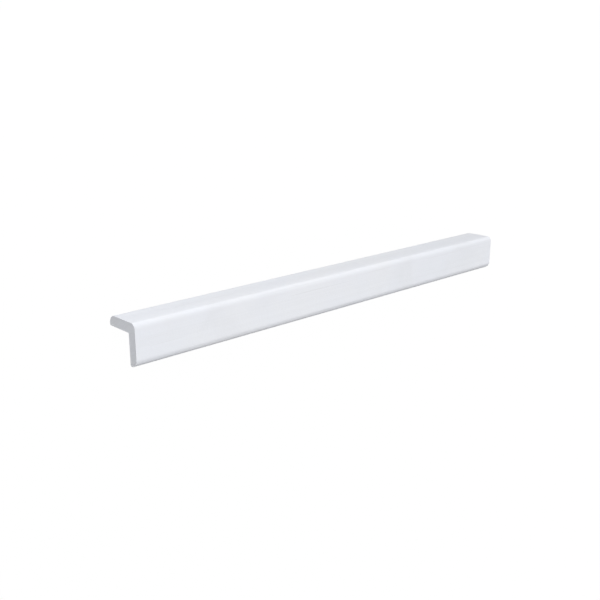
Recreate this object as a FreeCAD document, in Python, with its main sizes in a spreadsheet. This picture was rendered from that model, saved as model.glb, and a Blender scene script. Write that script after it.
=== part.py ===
# Corner guard moulding: a short length of white cellular PVC angle that covers an outside wall corner.
#
# It is one extrusion. Two legs of the same width and wall meet at a right angle. The outside of the
# corner is rounded for the hand, the inside is nearly sharp so that it seats on the wall's arris, and
# each leg ends in a tip with a large round outside and a small one inside. Both ends are sawn square.
#
# Frame, in millimetres: X runs along the moulding, from the middle of its length. It lies as it rests
# by itself, astride, with the ridge up and both tips on the floor at Z = 0. The origin is on the
# floor, midway between the two lines where the tips touch it. Leg A comes down towards +Y and
# leg B towards -Y.

import FreeCAD, Part
import math
import os

import Sketcher

# Name, millimetres, meaning
SIZES = [
    ("length", "247", "sawn length"),
    ("leg_a", "19.05", "width of leg A over the outside, 3/4 in"),
    ("leg_b", "19.05", "width of leg B over the outside, 3/4 in"),
    ("wall", "4.76", "thickness of both legs, 3/16 in"),
    ("ridge_radius", "2.5", "round on the outside of the corner"),
    ("root_radius", "0.3", "small round that the die leaves in the inside of the corner"),
    ("tip_outer_radius", "3.85", "round on the outside of each leg's tip"),
    ("tip_inner_radius", "0.75", "eased inside edge of each leg's tip, which the part rests on"),
    ("tip_land", "0.1", "least flat between the two rounds of a tip"),
]

# A tip's outer round takes at most what the wall leaves beside the land and the inner round.
TIP_OUTER = "min(Sizes.tip_outer_radius; Sizes.wall - Sizes.tip_inner_radius - Sizes.tip_land)"

# The line through the centres of the tips' inner rounds, against leg A. It lies level at rest.
REST_ANGLE = "atan((Sizes.leg_b - Sizes.wall) / (Sizes.leg_a - Sizes.wall))"


def add_sizes(doc):
    """The spreadsheet that holds every driving dimension."""
    sheet = doc.addObject("Spreadsheet::Sheet", "Sizes")
    for row, (alias, value, meaning) in enumerate(SIZES, start=1):
        sheet.set(f"A{row}", meaning)
        sheet.set(f"B{row}", value)
        sheet.setAlias(f"B{row}", alias)
    doc.recompute()
    return sheet


def straight(start, end):
    return Part.LineSegment(FreeCAD.Vector(*start, 0), FreeCAD.Vector(*end, 0))


def quarter(centre, radius, quadrant):
    """A quarter circle, anticlockwise from the start of the given quadrant, counted from 0."""
    circle = Part.Circle(FreeCAD.Vector(*centre, 0), FreeCAD.Vector(0, 0, 1), radius)
    return Part.ArcOfCircle(circle, quadrant * math.pi / 2, (quadrant + 1) * math.pi / 2)


def section_outline(sheet):
    """The curves of the section, clockwise: leg A along +x, leg B along -y, sharp corner at the origin."""
    leg_a, leg_b, wall = (float(sheet.get(alias)) for alias in ("leg_a", "leg_b", "wall"))
    ridge, root = float(sheet.get("ridge_radius")), float(sheet.get("root_radius"))
    inner, land = float(sheet.get("tip_inner_radius")), float(sheet.get("tip_land"))
    outer = min(float(sheet.get("tip_outer_radius")), wall - inner - land)
    return [
        ("face_a", straight((ridge, 0), (leg_a - outer, 0))),
        ("outer_a", quarter((leg_a - outer, -outer), outer, 0)),
        ("end_a", straight((leg_a, -outer), (leg_a, inner - wall))),
        ("inner_a", quarter((leg_a - inner, inner - wall), inner, 3)),
        ("inside_a", straight((leg_a - inner, -wall), (wall + root, -wall))),
        ("root", quarter((wall + root, -wall - root), root, 1)),
        ("inside_b", straight((wall, -wall - root), (wall, inner - leg_b))),
        ("inner_b", quarter((wall - inner, inner - leg_b), inner, 3)),
        ("end_b", straight((wall - inner, -leg_b), (outer, -leg_b))),
        ("outer_b", quarter((outer, outer - leg_b), outer, 2)),
        ("face_b", straight((0, outer - leg_b), (0, -ridge))),
        ("ridge", quarter((ridge, -ridge), ridge, 1)),
    ]


def start_of(curve):
    """A curve's start, as a sketch counts its points."""
    return (curve, 1)


def end_of(curve):
    """A curve's end."""
    return (curve, 2)


def draw_section(sketch, sheet):
    """The outline of the extrusion die, fully constrained, with each size bound to its cell."""
    x_axis, y_axis = -1, -2
    origin = start_of(x_axis)
    outline = section_outline(sheet)
    edge = {name: sketch.addGeometry(curve, False) for name, curve in outline}
    names = list(edge)

    # Every joint is tangent. Straights and rounds take turns. The rounds run against the outline,
    # so a straight's end meets a round's end, apart from the root, which is hollow and runs with it.
    for straight_name, round_name, next_name in zip(names[0::2], names[1::2], names[2::2] + names[:1]):
        entry, leave = end_of(edge[round_name]), start_of(edge[round_name])
        if round_name == "root":
            entry, leave = leave, entry
        sketch.addConstraint(Sketcher.Constraint("Tangent", *end_of(edge[straight_name]), *entry))
        sketch.addConstraint(Sketcher.Constraint("Tangent", *leave, *start_of(edge[next_name])))
    for name in ("face_a", "inside_a", "end_b"):
        sketch.addConstraint(Sketcher.Constraint("Horizontal", edge[name]))
    for name in ("end_a", "inside_b", "face_b"):
        sketch.addConstraint(Sketcher.Constraint("Vertical", edge[name]))

    # Both outer faces lie on the sketch's axes.
    sketch.addConstraint(Sketcher.Constraint("PointOnObject", *start_of(edge["face_a"]), x_axis))
    sketch.addConstraint(Sketcher.Constraint("PointOnObject", *start_of(edge["face_b"]), y_axis))

    driving = [
        ("leg_a_width", "Sizes.leg_a", "DistanceX", (*origin, *start_of(edge["end_a"]))),
        ("leg_b_width", "Sizes.leg_b", "DistanceY", (*start_of(edge["end_b"]), *origin)),
        ("leg_a_wall", "Sizes.wall", "DistanceY", (*start_of(edge["inside_a"]), *origin)),
        ("leg_b_wall", "Sizes.wall", "DistanceX", (*origin, *start_of(edge["inside_b"]))),
        ("ridge_round", "Sizes.ridge_radius", "Radius", (edge["ridge"],)),
        ("root_round", "Sizes.root_radius", "Radius", (edge["root"],)),
        ("leg_a_outer_round", TIP_OUTER, "Radius", (edge["outer_a"],)),
        ("leg_b_outer_round", TIP_OUTER, "Radius", (edge["outer_b"],)),
        ("leg_a_inner_round", "Sizes.tip_inner_radius", "Radius", (edge["inner_a"],)),
        ("leg_b_inner_round", "Sizes.tip_inner_radius", "Radius", (edge["inner_b"],)),
    ]
    for name, cell, kind, ends in driving:
        size = sketch.evalExpression(cell)
        index = sketch.addConstraint(Sketcher.Constraint(kind, *ends, float(size)))
        sketch.renameConstraint(index, name)
        sketch.setExpression(f"Constraints.{name}", cell)


def lay_astride(body):
    """Turns the moulding until both tips are level, and sets it on the floor over the origin."""
    body.Placement = FreeCAD.Placement(FreeCAD.Vector(), FreeCAD.Rotation(FreeCAD.Vector(1, 0, 0), -45))
    body.setExpression("Placement.Rotation.Angle", f"-{REST_ANGLE}")

    # Where the centres of the two inner rounds come to after the turn
    inset = "(Sizes.wall - Sizes.tip_inner_radius)"
    reach_a = f"((Sizes.leg_a - Sizes.tip_inner_radius) * cos({REST_ANGLE}) - {inset} * sin({REST_ANGLE}))"
    reach_b = f"({inset} * cos({REST_ANGLE}) - (Sizes.leg_b - Sizes.tip_inner_radius) * sin({REST_ANGLE}))"
    drop = f"((Sizes.leg_a - Sizes.tip_inner_radius) * sin({REST_ANGLE}) + {inset} * cos({REST_ANGLE}))"
    body.setExpression("Placement.Base.y", f"-({reach_a} + {reach_b}) / 2")
    body.setExpression("Placement.Base.z", f"{drop} + Sizes.tip_inner_radius")


def make_corner_guard(doc, sheet):
    """The moulding: one section, one extrusion."""
    body = doc.addObject("PartDesign::Body", "corner_guard")
    body.Label = "corner_guard"

    section = body.newObject("Sketcher::SketchObject", "Section")
    across = next(plane for plane in body.Origin.OriginFeatures if plane.Role == "YZ_Plane")
    section.AttachmentSupport = [(across, "")]
    section.MapMode = "FlatFace"
    draw_section(section, sheet)
    doc.recompute()

    stock = body.newObject("PartDesign::Pad", "Stock")
    stock.Profile = section
    stock.SideType = "Symmetric"
    stock.setExpression("Length", "Sizes.length")
    body.Tip = stock
    lay_astride(body)
    return body


def check(doc, pieces):
    """Stops at any object that failed, and at any piece that isn't one valid solid."""
    for item in doc.Objects:
        if "Invalid" in item.State or "Error" in item.State:
            raise RuntimeError(f"{item.Label} failed: {item.State}")
    for piece in pieces:
        if piece.Shape.isNull() or not piece.Shape.isValid() or len(piece.Shape.Solids) != 1:
            raise RuntimeError(f"{piece.Label} isn't one valid solid")


def main():
    doc = FreeCAD.newDocument("corner_guard_moulding")
    sheet = add_sizes(doc)
    pieces = [make_corner_guard(doc, sheet)]
    doc.recompute()
    check(doc, pieces)

    os.makedirs("parts", exist_ok=True)
    for piece in pieces:
        piece.Shape.exportStep(f"parts/{piece.Label}.step")
        box = piece.Shape.BoundBox
        print(f"{piece.Label}: {piece.Shape.Volume:.1f} mm3")
        print(f"  box {box.XLength:.2f} x {box.YLength:.2f} x {box.ZLength:.2f} mm, lowest {box.ZMin:.4f}")


main()
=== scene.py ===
from math import cos, pi, radians, sin

import bmesh
import bpy
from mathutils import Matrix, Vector


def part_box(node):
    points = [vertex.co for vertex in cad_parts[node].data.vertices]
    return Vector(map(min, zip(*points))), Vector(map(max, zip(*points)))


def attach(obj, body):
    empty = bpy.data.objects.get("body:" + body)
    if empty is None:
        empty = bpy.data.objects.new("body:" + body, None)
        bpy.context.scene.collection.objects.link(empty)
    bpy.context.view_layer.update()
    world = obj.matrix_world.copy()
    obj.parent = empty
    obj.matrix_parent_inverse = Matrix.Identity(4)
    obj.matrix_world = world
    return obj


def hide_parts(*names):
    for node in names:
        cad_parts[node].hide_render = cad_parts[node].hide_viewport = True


# A short length of white cellular PVC corner guard, lying astride on a pale floor with its ridge up.
# Metres, Z up, X along the moulding. Leg A comes down towards +Y and leg B towards -Y.

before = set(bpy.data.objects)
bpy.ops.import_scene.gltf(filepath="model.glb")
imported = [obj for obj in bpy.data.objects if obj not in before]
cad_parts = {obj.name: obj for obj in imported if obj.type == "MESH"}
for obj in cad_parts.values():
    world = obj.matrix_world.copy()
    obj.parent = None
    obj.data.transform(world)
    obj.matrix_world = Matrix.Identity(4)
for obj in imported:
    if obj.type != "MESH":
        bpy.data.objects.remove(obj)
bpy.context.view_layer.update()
cadLow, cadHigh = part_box("corner_guard")

mm = 0.001
samePlace = 1e-6  # two places in the section nearer than this are one
sameCorner = 1e-7  # and so are two corners of the finished mesh nearer than this
sameWay = 0.999  # two directions whose cosine is above this are one

moulding = {
    "legWidth": 19.05 * mm,  # 3/4 in, over the outside
    "wall": 4.76 * mm,  # 3/16 in
    # the die's rounds: radius and facets
    "ridge": (2.5 * mm, 20),
    "root": (0.3 * mm, 6),
    "tipOutside": (3.85 * mm, 26),
    "tipInside": (0.75 * mm, 10),
    # die lines: place across a leg from the sharp corner, width and depth, in millimetres
    "outsideLines": ((6.2, 0.30, 0.005), (9.9, 0.45, 0.004), (12.8, 0.25, 0.005)),
    "insideLines": ((7.4, 0.35, 0.006), (11.3, 0.50, 0.006), (15.6, 0.30, 0.006)),
    # the sawn ends
    "arris": 0.12 * mm,  # round of a sawn edge after a stroke of fine paper
    "arrisFacets": 4,
    "denseSkin": 0.45 * mm,  # closed skin round the cellular core
    "coreStep": 0.015 * mm,  # the softer core is cut a hair deeper than the skin
    "coreCuts": 0.25 * mm,  # spacing of the cuts across the core, which carry the saw's marks
    "sawMarkDepth": 0.030 * mm,
    "sawMarkPitch": 1.4 * mm,
    "bladeHub": (0, 0.085, 0.095),  # the saw's hub, seen from the section's sharp corner
    "cellSize": 0.5 * mm,
    "cellDepth": 0.012 * mm,
    "creaseFrom": 35,  # degrees between two faces from which their edge stays sharp
}


# The loaded part comes in selected, so everything is let go first
def letGo():
    if bpy.context.mode != "OBJECT":
        bpy.ops.object.mode_set(mode="OBJECT")
    bpy.ops.object.select_all(action="DESELECT")


# In edit mode, selects the faces or edges that pass the test
def pick(piece, kind, test):
    bpy.ops.mesh.select_all(action="DESELECT")
    bpy.ops.mesh.select_mode(type=kind)
    mesh = bmesh.from_edit_mesh(piece.data)
    for part in mesh.faces if kind == "FACE" else mesh.edges:
        if test(part):
            part.select_set(True)
    bmesh.update_edit_mesh(piece.data)


def facing(face, direction):
    return face.normal.dot(Vector(direction)) > sameWay


# An edge that runs along the moulding at this place in the section
def runsAlong(edge, y, z):
    first, last = (corner.co for corner in edge.verts)
    atPlace = all(abs(end.y - y) < samePlace and abs(end.z - z) < samePlace for end in (first, last))
    return atPlace and abs(first.x - last.x) > mm


# The bar is drawn in its section's own frame: sharp outer corner on the X axis, leg A along +Y, leg B
# down. It is an arris short at each end.
def drawBar(length):
    wall, leg = moulding["wall"], moulding["legWidth"]
    short = length - 2 * moulding["arris"]
    middle = Vector((0, wall / 2, -wall / 2))
    letGo()
    bpy.ops.mesh.primitive_cube_add(size=1, calc_uvs=False, location=middle, scale=(short, wall, wall))
    bar = bpy.context.active_object
    bar.name = bar.data.name = "cornerGuardMoulding"
    bpy.ops.object.transform_apply(location=True, rotation=True, scale=True)
    bpy.ops.object.mode_set(mode="EDIT")

    # Both legs are drawn out of the corner block
    for out in ((0, 1, 0), (0, 0, -1)):

        def onBlock(face):
            return facing(face, out) and (face.calc_center_median() - middle).length < wall

        pick(bar, "FACE", onBlock)
        bpy.ops.mesh.extrude_region_move(TRANSFORM_OT_translate={"value": Vector(out) * (leg - wall)})

    # The die's rounds, each at its place in the section
    for y, z, name in (
        (0, 0, "ridge"),
        (leg, 0, "tipOutside"),
        (0, -leg, "tipOutside"),
        (leg, -wall, "tipInside"),
        (wall, -leg, "tipInside"),
        (wall, -wall, "root"),
    ):
        radius, facets = moulding[name]
        pick(bar, "EDGE", lambda edge: runsAlong(edge, y, z))
        bpy.ops.mesh.bevel(offset=radius, segments=facets, profile=0.5, affect="EDGES", clamp_overlap=False)
    return bar


# Faint lines that the die leaves along both legs, inside and outside
def scoreLines(bar):
    nearLeg = 0.05 * mm  # deeper than any line, so a scored face still belongs to its leg
    for key, level, sign in (("outsideLines", 0, 1), ("insideLines", moulding["wall"], -1)):
        for place, width, depth in moulding[key]:
            for across, inward in (((0, 1, 0), (0, 0, -1)), ((0, 0, -1), (0, 1, 0))):
                across, inward = Vector(across), Vector(inward)

                def onLeg(face):
                    there = abs(face.calc_center_median().dot(inward) - level) < nearLeg
                    return there and abs(face.normal.dot(inward)) > sameWay

                for cut in (place - width / 2, place, place + width / 2):
                    pick(bar, "FACE", onLeg)
                    bpy.ops.mesh.bisect(plane_co=across * cut * mm, plane_no=across)

                def inLine(edge):
                    ends = [corner.co for corner in edge.verts]
                    onLevel = all(abs(end.dot(inward) - level) < samePlace for end in ends)
                    return onLevel and all(abs(end.dot(across) - place * mm) < samePlace for end in ends)

                pick(bar, "EDGE", inLine)
                bpy.ops.transform.translate(value=inward * sign * depth * mm)


# One sawn end: the arris is rounded by stepped insets, then the dense skin, then the core a hair deeper
def sawEnd(bar, side, length):
    radius, facets, step = moulding["arris"], moulding["arrisFacets"], moulding["coreStep"]
    pick(bar, "FACE", lambda face: facing(face, (side, 0, 0)))
    bpy.ops.mesh.dissolve_faces()
    for facet in range(facets):
        here, there = (pi / 2 * turn / facets for turn in (facet, facet + 1))
        inwards = radius * (cos(here) - cos(there))
        bpy.ops.mesh.inset(thickness=inwards, depth=radius * (sin(there) - sin(here)))
    bpy.ops.mesh.inset(thickness=moulding["denseSkin"], depth=0)
    bpy.ops.mesh.inset(thickness=2 * step, depth=-step)

    level = side * (length / 2 - step)

    def inCore(face):
        return all(abs(corner.co.x - level) < sameCorner for corner in face.verts)

    spacing = moulding["coreCuts"]
    for count in range(1, int(moulding["legWidth"] / spacing)):
        for place, normal in (((0, count * spacing, 0), (0, 1, 0)), ((0, 0, -count * spacing), (0, 0, 1))):
            pick(bar, "FACE", inCore)
            bpy.ops.mesh.bisect(plane_co=place, plane_no=normal)
    pick(bar, "FACE", inCore)
    bpy.ops.object.mode_set(mode="OBJECT")
    core = bar.vertex_groups.new(name="core")
    core.add([corner.index for corner in bar.data.vertices if corner.select], 1, "REPLACE")
    roughenCore(bar, side, length)
    bar.vertex_groups.clear()
    bpy.ops.object.mode_set(mode="EDIT")


# The blade's arcs and the torn cells on the core of one sawn end
def roughenCore(bar, side, length):
    ringsPerTurn = 20  # Blender's wood rings lie 2 pi / 20 apart
    hub = bpy.data.objects.new("sawHub", None)
    bpy.context.collection.objects.link(hub)
    hub.location = Vector(moulding["bladeHub"]) + Vector((side * length / 2, 0, 0))
    hub.scale = [moulding["sawMarkPitch"] * ringsPerTurn / (2 * pi)] * 3
    bpy.context.view_layer.update()

    arcs = bpy.data.textures.new("sawArcs", "WOOD")
    arcs.wood_type = "RINGS"
    cells = bpy.data.textures.new("tornCells", "CLOUDS")
    cells.noise_scale = moulding["cellSize"]
    for texture, depth in ((arcs, moulding["sawMarkDepth"]), (cells, moulding["cellDepth"])):
        relief = bar.modifiers.new("relief", "DISPLACE")
        relief.texture = texture
        if texture == arcs:
            relief.texture_coords, relief.texture_coords_object = "OBJECT", hub
        relief.direction, relief.vertex_group = "X", "core"
        relief.mid_level, relief.strength = 1, side * depth
        bpy.ops.object.modifier_apply(modifier=relief.name)
        bpy.data.textures.remove(texture)
    bpy.data.objects.remove(hub)


# The bar is turned onto both tips and set down on the floor
def layAstride(bar):
    bpy.ops.mesh.select_all(action="SELECT")
    bpy.ops.transform.rotate(value=radians(45), orient_axis="X", center_override=(0, 0, 0))
    lowest = min(corner.co.z for corner in bmesh.from_edit_mesh(bar.data).verts)
    bpy.ops.transform.translate(value=(0, 0, -lowest))


def finishMesh(bar):
    bpy.ops.mesh.select_all(action="SELECT")
    bpy.ops.mesh.remove_doubles(threshold=sameCorner)
    bpy.ops.mesh.normals_make_consistent(inside=False)
    bpy.ops.object.mode_set(mode="OBJECT")
    bpy.ops.object.shade_smooth_by_angle(angle=radians(moulding["creaseFrom"]))
    even = bar.modifiers.new("evenShading", "WEIGHTED_NORMAL")
    even.keep_sharp = True
    bpy.ops.object.modifier_apply(modifier=even.name)


# Cool whites, as in the picture
whites = {
    "warm": (0.853, 0.868, 0.908, 1),
    "cool": (0.838, 0.860, 0.915, 1),
    "rubbed": (0.78, 0.795, 0.83, 1),  # where hands and racks have left a trace, and the painted shade in a sawn face's pits
}

# How each finish reads: roughness from and to, relief in metres, and patches, lines, marks and cells to
# the metre. The rest are shares from 0 to 1.
finishes = {
    "whitePvcSkin": {
        "roughness": (0.34, 0.48), "relief": 0.06 * mm, "strength": 0.80,
        "patches": 22.0, "lines": 1300.0, "marks": 34.0, "rubbed": 0.40,
        "streaks": 0.22, "peel": 850.0, "peelShare": 0.5, "scratchCut": 0.4, "smudgeDulls": 0.5,
        "burnished": (14.7 * mm, 15.45 * mm),  # heights between which the ridge gets smoother
        "burnish": 0.4,
    },
    # pitShade in the sawn finishes is how far painted shade darkens the cells' pits
    "sawnDenseSkin": {
        "roughness": (0.48, 0.58), "relief": 0.03 * mm, "strength": 0.35,
        "patches": 60.0, "lines": 3200.0, "marks": 90.0, "rubbed": 0.25,
        "cells": 6500.0, "pitShade": 0.10, "grainShare": 0.4,
    },
    "sawnFoamCore": {
        "roughness": (0.62, 0.78), "relief": 0.06 * mm, "strength": 0.55,
        "patches": 80.0, "lines": 2400.0, "marks": 120.0, "rubbed": 0.45,
        "cells": 3800.0, "pitShade": 0.35, "grainShare": 0.4,
    },
}

# How far the drawn grain and the hair scratches are stretched along the moulding, and how they are spaced
effects = {
    "grainStretch": 0.004,
    "broadStreaks": 0.3,  # to the metre, against the fine lines
    "hairStretch": 0.02,
    "hairSkew": (0, radians(1.5), radians(2.5)),
    "hairs": 30.0,  # to the metre, against the smudges
}

# A Mix node that is set to colours has its sockets at these places
fromColour, toColour, mixedColour = 6, 7, 2


# A new node with its settings and the values of its sockets
def addNode(tree, kind, settings=None, **sockets):
    node = tree.nodes.new("ShaderNode" + kind)
    for name, value in (settings or {}).items():
        setattr(node, name, value)
    for name, value in sockets.items():
        node.inputs[name.replace("_", " ")].default_value = value
    return node


# A Math node that multiplies its first socket by a fixed number, and may add its third
def scaleBy(tree, factor, operation="MULTIPLY"):
    node = addNode(tree, "Math", {"operation": operation})
    node.inputs[1].default_value = factor
    return node


def newGroup(name, inputs, outputs):
    group = bpy.data.node_groups.new(name, "ShaderNodeTree")
    newSocket = group.interface.new_socket
    for label, kind, value in inputs:
        newSocket(name=label, in_out="INPUT", socket_type="NodeSocket" + kind).default_value = value
    for label, kind in outputs:
        newSocket(name=label, in_out="OUTPUT", socket_type="NodeSocket" + kind)
    return group, group.nodes.new("NodeGroupInput"), group.nodes.new("NodeGroupOutput")


# The foam is drawn out along the moulding: lines on the skin, and specks where the saw has cut across them
def makeDrawnGrain():
    group, given, result = newGroup(
        "drawnGrain", [("Lines per metre", "Float", 1500.0)], [("Height", "Float"), ("Streaks", "Float")]
    )
    where = addNode(group, "TexCoord")
    stretch = addNode(group, "Mapping", Scale=(effects["grainStretch"], 1, 1))
    fine = addNode(group, "TexNoise", Detail=4.0, Roughness=0.6)
    wider = scaleBy(group, effects["broadStreaks"])
    broad = addNode(group, "TexNoise", Detail=2.0, Roughness=0.5)
    spread = addNode(group, "MapRange", From_Min=0.3, From_Max=0.7)
    link = group.links.new
    link(where.outputs["Object"], stretch.inputs["Vector"])
    for noise in (fine, broad):
        link(stretch.outputs["Vector"], noise.inputs["Vector"])
    link(given.outputs["Lines per metre"], fine.inputs["Scale"])
    link(given.outputs["Lines per metre"], wider.inputs[0])
    link(wider.outputs[0], broad.inputs["Scale"])
    link(fine.outputs["Fac"], result.inputs["Height"])
    link(broad.outputs["Fac"], spread.inputs["Value"])
    link(spread.outputs["Result"], result.inputs["Streaks"])
    return group


# Slow change between two near whites
def makeWhiteDrift():
    group, given, result = newGroup(
        "whiteDrift",
        [("Warm white", "Color", whites["warm"]), ("Cool white", "Color", whites["cool"]),
         ("Patches per metre", "Float", 22.0)],
        [("Colour", "Color"), ("Patches", "Float")],
    )
    where = addNode(group, "TexCoord")
    cloud = addNode(group, "TexNoise", Detail=3.0, Roughness=0.55, Distortion=0.3)
    spread = addNode(group, "MapRange", {"interpolation_type": "SMOOTHSTEP"}, From_Min=0.35, From_Max=0.65)
    blend = addNode(group, "Mix", {"data_type": "RGBA"})
    link = group.links.new
    link(where.outputs["Object"], cloud.inputs["Vector"])
    link(given.outputs["Patches per metre"], cloud.inputs["Scale"])
    link(cloud.outputs["Fac"], spread.inputs["Value"])
    link(spread.outputs["Result"], blend.inputs["Factor"])
    link(given.outputs["Warm white"], blend.inputs[fromColour])
    link(given.outputs["Cool white"], blend.inputs[toColour])
    link(blend.outputs[mixedColour], result.inputs["Colour"])
    link(spread.outputs["Result"], result.inputs["Patches"])
    return group


# Traces of handling: soft smudges, and hair scratches that run almost along the moulding
def makeHandlingMarks():
    group, given, result = newGroup(
        "handlingMarks",
        [("Marks per metre", "Float", 34.0), ("Rubbed white", "Color", whites["rubbed"]),
         ("Colour", "Color", whites["warm"]), ("Amount", "Float", 0.3)],
        [("Colour", "Color"), ("Smudges", "Float"), ("Scratches", "Float")],
    )
    where = addNode(group, "TexCoord")
    smear = addNode(group, "TexNoise", Detail=5.0, Roughness=0.6, Distortion=0.7)
    smudge = addNode(group, "MapRange", {"interpolation_type": "SMOOTHSTEP"}, From_Min=0.50, From_Max=0.72)
    skew = addNode(group, "Mapping", Scale=(effects["hairStretch"], 1, 1), Rotation=effects["hairSkew"])
    closer = scaleBy(group, effects["hairs"])
    hairs = addNode(group, "TexNoise", Detail=1.0, Roughness=0.4)
    thin = addNode(group, "MapRange", {"interpolation_type": "SMOOTHSTEP"}, From_Min=0.66, From_Max=0.72)
    trace = addNode(group, "Math", {"operation": "MAXIMUM"})
    share = addNode(group, "Math", {"operation": "MULTIPLY"})
    tint = addNode(group, "Mix", {"data_type": "RGBA"})
    link = group.links.new
    link(where.outputs["Object"], smear.inputs["Vector"])
    link(where.outputs["Object"], skew.inputs["Vector"])
    link(given.outputs["Marks per metre"], smear.inputs["Scale"])
    link(smear.outputs["Fac"], smudge.inputs["Value"])
    link(given.outputs["Marks per metre"], closer.inputs[0])
    link(closer.outputs[0], hairs.inputs["Scale"])
    link(skew.outputs["Vector"], hairs.inputs["Vector"])
    link(hairs.outputs["Fac"], thin.inputs["Value"])
    link(smudge.outputs["Result"], trace.inputs[0])
    link(thin.outputs["Result"], trace.inputs[1])
    link(trace.outputs[0], share.inputs[0])
    link(given.outputs["Amount"], share.inputs[1])
    link(share.outputs[0], tint.inputs["Factor"])
    link(given.outputs["Colour"], tint.inputs[fromColour])
    link(given.outputs["Rubbed white"], tint.inputs[toColour])
    link(tint.outputs[mixedColour], result.inputs["Colour"])
    link(smudge.outputs["Result"], result.inputs["Smudges"])
    link(thin.outputs["Result"], result.inputs["Scratches"])
    return group


def newMaterial(name):
    finish = bpy.data.materials.new(name)
    finish.use_nodes = True
    tree = finish.node_tree
    return finish, tree, tree.nodes["Principled BSDF"]


def placeGroup(tree, group, **sockets):
    return addNode(tree, "Group", {"node_tree": group}, **sockets)


# The three groups and the shader, joined as every finish has them. Gives the nodes that each adds to.
def startPvc(name, groups):
    values = finishes[name]
    drift, grain, marks = groups
    finish, tree, shader = newMaterial(name)
    shader.inputs["IOR"].default_value = 1.52  # PVC
    tone = placeGroup(tree, drift, Patches_per_metre=values["patches"])
    lines = placeGroup(tree, grain, Lines_per_metre=values["lines"])
    wear = placeGroup(tree, marks, Marks_per_metre=values["marks"], Amount=values["rubbed"])
    sheen = addNode(tree, "MapRange", To_Min=values["roughness"][0], To_Max=values["roughness"][1])
    relief = addNode(tree, "Bump", Strength=values["strength"], Distance=values["relief"])
    tree.links.new(tone.outputs["Colour"], wear.inputs["Colour"])
    tree.links.new(sheen.outputs["Result"], shader.inputs["Roughness"])
    tree.links.new(relief.outputs["Normal"], shader.inputs["Normal"])
    return finish, tree, shader, lines, wear, sheen, relief


# Satin skin as the die leaves it: duller in the streaks and smudges, burnished along the ridge
def makeSkin(groups):
    values = finishes["whitePvcSkin"]
    finish, tree, shader, lines, wear, sheen, relief = startPvc("whitePvcSkin", groups)
    where = addNode(tree, "TexCoord")
    place = addNode(tree, "SeparateXYZ")
    low, high = values["burnished"]
    ridge = addNode(tree, "MapRange", {"interpolation_type": "SMOOTHSTEP"}, From_Min=low, From_Max=high)
    polish = scaleBy(tree, -values["burnish"])
    dull = scaleBy(tree, values["smudgeDulls"], "MULTIPLY_ADD")
    blend = addNode(tree, "Math", {"operation": "ADD"})
    faint = scaleBy(tree, values["streaks"])
    shade = addNode(tree, "Mix", {"data_type": "RGBA"})
    shade.inputs[toColour].default_value = whites["rubbed"]
    peel = addNode(tree, "TexNoise", Scale=values["peel"], Detail=2.0, Roughness=0.45)
    uneven = scaleBy(tree, values["peelShare"], "MULTIPLY_ADD")
    cut = scaleBy(tree, -values["scratchCut"], "MULTIPLY_ADD")
    link = tree.links.new
    link(lines.outputs["Streaks"], faint.inputs[0])
    link(faint.outputs[0], shade.inputs["Factor"])
    link(wear.outputs["Colour"], shade.inputs[fromColour])
    link(shade.outputs[mixedColour], shader.inputs["Base Color"])
    link(where.outputs["Object"], place.inputs["Vector"])
    link(where.outputs["Object"], peel.inputs["Vector"])
    link(place.outputs["Z"], ridge.inputs["Value"])
    link(ridge.outputs["Result"], polish.inputs[0])
    link(wear.outputs["Smudges"], dull.inputs[0])
    link(lines.outputs["Streaks"], dull.inputs[2])
    link(dull.outputs[0], blend.inputs[0])
    link(polish.outputs[0], blend.inputs[1])
    link(blend.outputs[0], sheen.inputs["Value"])
    link(wear.outputs["Scratches"], cut.inputs[0])
    link(peel.outputs["Fac"], uneven.inputs[0])
    link(lines.outputs["Height"], uneven.inputs[2])
    link(uneven.outputs[0], cut.inputs[2])
    link(cut.outputs[0], relief.inputs["Height"])
    return finish


# A sawn face: open cells, duller in their pits and darkened there by painted shade, with the drawn foam's
# specks between them
def makeSawnFace(name, groups):
    values = finishes[name]
    finish, tree, shader, lines, wear, sheen, relief = startPvc(name, groups)
    where = addNode(tree, "TexCoord")
    foam = addNode(tree, "TexVoronoi", {"feature": "SMOOTH_F1"}, Scale=values["cells"])
    pit = addNode(tree, "MapRange", {"interpolation_type": "SMOOTHSTEP"}, From_Min=0.45, From_Max=0.15)
    # painted shade: the pits are mixed towards the rubbed white, standing in for the shadow inside the open
    # cells
    paintedPitShade = scaleBy(tree, values["pitShade"])
    shade = addNode(tree, "Mix", {"data_type": "RGBA"})
    shade.inputs[toColour].default_value = whites["rubbed"]
    cellWalls = scaleBy(tree, values["grainShare"], "MULTIPLY_ADD")
    link = tree.links.new
    link(where.outputs["Object"], foam.inputs["Vector"])
    link(foam.outputs["Distance"], pit.inputs["Value"])
    link(pit.outputs["Result"], paintedPitShade.inputs[0])
    link(paintedPitShade.outputs[0], shade.inputs["Factor"])
    link(wear.outputs["Colour"], shade.inputs[fromColour])
    link(shade.outputs[mixedColour], shader.inputs["Base Color"])
    link(pit.outputs["Result"], sheen.inputs["Value"])
    link(lines.outputs["Height"], cellWalls.inputs[0])
    link(foam.outputs["Distance"], cellWalls.inputs[2])
    link(cellWalls.outputs[0], relief.inputs["Height"])
    return finish


# The skin goes all over. On a sawn end the outer ring gets the dense skin's finish, and what lies deeper
# the foam core's.
def dress(bar, skin, ring, core, length):
    for finish in (skin, ring, core):
        bar.data.materials.append(finish)
    nearlyAlong = 0.9  # the core is rough, so not all its faces point straight out
    ringDepth, coreDepth = 0.1 * moulding["coreStep"], 4 * moulding["coreStep"]
    for face in bar.data.polygons:
        sawn = abs(face.normal.x) > nearlyAlong
        depth = length / 2 - abs(face.center.x)
        if sawn and depth < ringDepth:
            face.material_index = 1
        elif sawn and depth < coreDepth:
            face.material_index = 2


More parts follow.
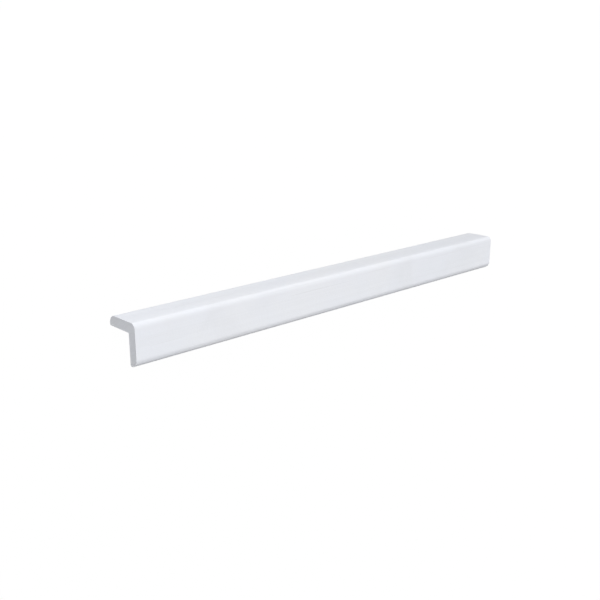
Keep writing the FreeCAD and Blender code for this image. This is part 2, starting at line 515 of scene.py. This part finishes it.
studio = {
    "sky": 0.814,
    "tableSize": 8.0,
    "tableWhite": 0.004,  # it throws next to no light back, so that the tips keep their dark edge
    "tableRoughness": 0.9,
    "tableGloss": 0.1,
    "glow": (0.992, 1.0),  # near the moulding and far away
    "glowReach": (0.20, 0.60),  # where the first ends and the second starts
    "aim": (0, 0, 0.01),  # what the boxes point at
    # name: place, side, power in watts
    "boxes": {
        "frontBox": ((-0.04, -0.71, 0.41), 0.50, 1.84),
        "backBox": ((-0.02, 0.70, 0.25), 0.40, 1.70),
        "nearEndBox": ((-0.50, 0.28, 0.16), 0.25, 0.60),
    },
    # a strip on the table that lights the hollow: length, width, height above the table, power in watts
    "hollowStrip": (0.240, 0.018, 0.5 * mm, 0.014),
}


# A pale table. Its glow shows only to the camera, so that the picture's ground is as white as the
# photograph's, with hardly a shadow. From below the camera sees through it, to the moulding's underside.
def makeFloorFinish():
    finish, tree, shader = newMaterial("paleTable")
    shader.inputs["Base Color"].default_value = (studio["tableWhite"],) * 3 + (1,)
    shader.inputs["Roughness"].default_value = studio["tableRoughness"]
    shader.inputs["Specular IOR Level"].default_value = studio["tableGloss"]
    where = addNode(tree, "TexCoord")
    away = addNode(tree, "VectorMath", {"operation": "LENGTH"})
    (near, far), (start, end) = studio["glow"], studio["glowReach"]
    grow = addNode(tree, "MapRange", From_Min=start, From_Max=end, To_Min=near, To_Max=far)
    seen = addNode(tree, "LightPath")
    only = addNode(tree, "Math", {"operation": "MULTIPLY"})
    glow = addNode(tree, "Emission", Color=(1, 1, 1, 1))
    both = addNode(tree, "AddShader")
    side = addNode(tree, "NewGeometry")
    below = addNode(tree, "Math", {"operation": "MULTIPLY"})
    clear = addNode(tree, "BsdfTransparent")
    choose = addNode(tree, "MixShader")
    link = tree.links.new
    link(where.outputs["Object"], away.inputs[0])
    link(away.outputs["Value"], grow.inputs["Value"])
    link(grow.outputs["Result"], only.inputs[0])
    link(seen.outputs["Is Camera Ray"], only.inputs[1])
    link(only.outputs[0], glow.inputs["Strength"])
    link(shader.outputs["BSDF"], both.inputs[0])
    link(glow.outputs["Emission"], both.inputs[1])
    link(side.outputs["Backfacing"], below.inputs[0])
    link(seen.outputs["Is Camera Ray"], below.inputs[1])
    link(below.outputs[0], choose.inputs["Fac"])
    link(both.outputs["Shader"], choose.inputs[1])
    link(clear.outputs["BSDF"], choose.inputs[2])
    link(choose.outputs["Shader"], tree.nodes["Material Output"].inputs["Surface"])
    return finish


# The sky lights the part weakly and shows white behind the table
def makeSky():
    world = bpy.data.worlds.new("studioSky")
    bpy.context.scene.world = world
    world.use_nodes = True
    tree = world.node_tree
    fill = tree.nodes["Background"]
    fill.inputs["Color"].default_value = (1, 1, 1, 1)
    fill.inputs["Strength"].default_value = studio["sky"]
    behind = addNode(tree, "Background", Color=(1, 1, 1, 1), Strength=1.0)
    seen = addNode(tree, "LightPath")
    choose = addNode(tree, "MixShader")
    link = tree.links.new
    link(seen.outputs["Is Camera Ray"], choose.inputs["Fac"])
    link(fill.outputs["Background"], choose.inputs[1])
    link(behind.outputs["Background"], choose.inputs[2])
    link(choose.outputs["Shader"], tree.nodes["World Output"].inputs["Surface"])


def addBox(name, place, turn, power):
    bpy.ops.object.light_add(type="AREA", location=place, rotation=turn)
    box = bpy.context.active_object
    box.name = name
    box.data.energy = power
    return box


def buildStudio():
    letGo()
    bpy.ops.mesh.primitive_plane_add(size=studio["tableSize"], location=(0, 0, 0))
    table = bpy.context.active_object
    table.name = "paleTable"
    table.data.materials.append(makeFloorFinish())
    makeSky()
    for name, (place, side, power) in studio["boxes"].items():
        turn = (Vector(studio["aim"]) - Vector(place)).to_track_quat("-Z", "Y").to_euler()
        addBox(name, place, turn, power).data.size = side

    # Without this the hollow is black from the ends and from below. Only its light is seen.
    along, across, height, power = studio["hollowStrip"]
    strip = addBox("hollowStrip", (0, 0, height), (pi, 0, 0), power)
    strip.visible_camera = False
    strip.data.shape = "RECTANGLE"
    strip.data.size, strip.data.size_y = along, across
    bpy.context.scene.view_settings.view_transform = "Standard"


camera = {
    "lens": 48.76,  # millimetres on a 36 mm sensor, from the picture's own perspective
    "place": (-0.28597, -0.119564, 0.277373),
    "turn": (37.6317, -28.9646, -33.6082),  # degrees, rolled until leg A lies level in the picture
}


def placeCamera():
    turn = [radians(angle) for angle in camera["turn"]]
    bpy.ops.object.camera_add(location=camera["place"], rotation=turn)
    view = bpy.context.active_object
    view.data.lens = camera["lens"]
    bpy.context.scene.camera = view


length = cadHigh.x - cadLow.x
bar = drawBar(length)
scoreLines(bar)
for side in (-1, 1):
    sawEnd(bar, side, length)
layAstride(bar)
finishMesh(bar)
print("moulding drawn:", len(bar.data.polygons), "faces")

groups = (makeWhiteDrift(), makeDrawnGrain(), makeHandlingMarks())
skin = makeSkin(groups)
ring, core = (makeSawnFace(name, groups) for name in ("sawnDenseSkin", "sawnFoamCore"))
dress(bar, skin, ring, core, length)
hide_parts("corner_guard")
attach(bar, "root")
print("moulding finished")

buildStudio()
placeCamera()
print("studio set")
